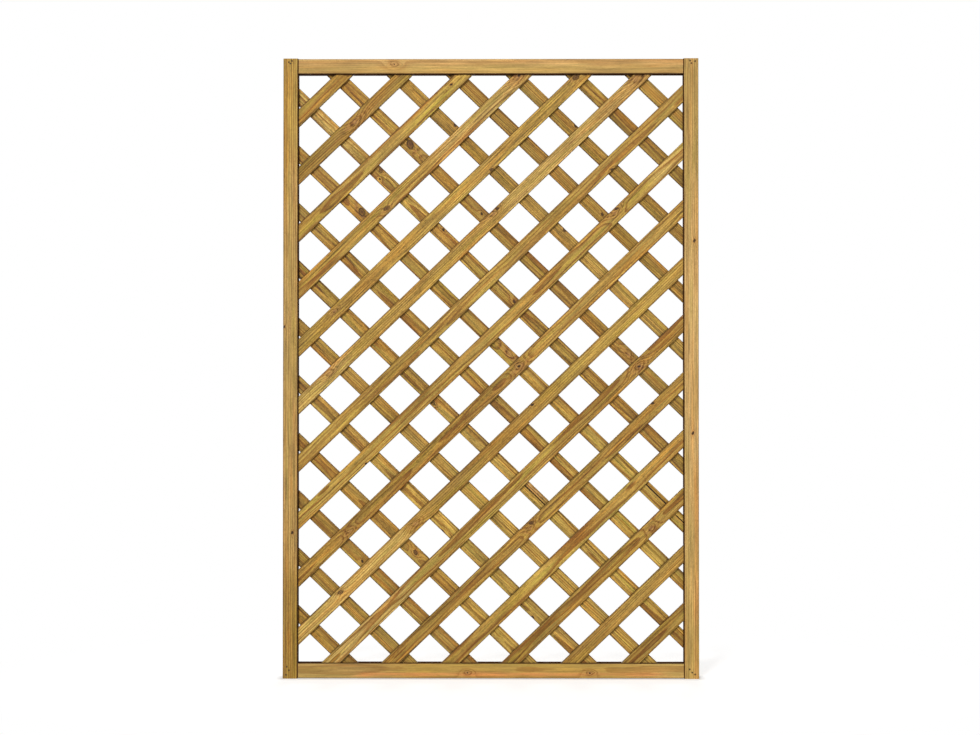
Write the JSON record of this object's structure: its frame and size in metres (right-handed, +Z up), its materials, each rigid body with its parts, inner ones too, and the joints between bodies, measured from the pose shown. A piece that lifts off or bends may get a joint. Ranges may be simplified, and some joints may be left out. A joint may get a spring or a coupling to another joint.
{
  "type": "diamond trellis panel",
  "caption": "Upright softwood trellis panel: a grooved timber frame round two layers of crossing laths that leave a grid of diamond openings for climbing plants.",
  "frame": {"origin": "on the left stile's outer edge, at its foot and in the middle of its depth", "axes": "+Z up, +X along the panel from the left stile to the right one, -Y out of the front"},
  "size_m": [1.2, 0.038, 1.79],
  "materials": {
    "frame_timber": "planed, pressure-treated softwood",
    "front_laths": "planed, pressure-treated softwood",
    "back_laths": "planed, pressure-treated softwood"
  },
  "bodies": {
    "root": {"back_lath_01": "back_laths", "back_lath_02": "back_laths", "back_lath_03": "back_laths", "back_lath_04": "back_laths", "back_lath_05": "back_laths", "back_lath_06": "back_laths", "back_lath_07": "back_laths", "back_lath_08": "back_laths", "back_lath_09": "back_laths", "back_lath_10": "back_laths", "back_lath_11": "back_laths", "back_lath_12": "back_laths", "back_lath_13": "back_laths", "back_lath_14": "back_laths", "back_lath_15": "back_laths", "back_lath_16": "back_laths", "front_lath_01": "front_laths", "front_lath_02": "front_laths", "front_lath_03": "front_laths", "front_lath_04": "front_laths", "front_lath_05": "front_laths", "front_lath_06": "front_laths", "front_lath_07": "front_laths", "front_lath_08": "front_laths", "front_lath_09": "front_laths", "front_lath_10": "front_laths", "front_lath_11": "front_laths", "front_lath_12": "front_laths", "front_lath_13": "front_laths", "front_lath_14": "front_laths", "front_lath_15": "front_laths", "front_lath_16": "front_laths", "rail_bottom": "frame_timber", "rail_top": "frame_timber", "stile_left": "frame_timber", "stile_right": "frame_timber"}
  },
  "joints": []
}
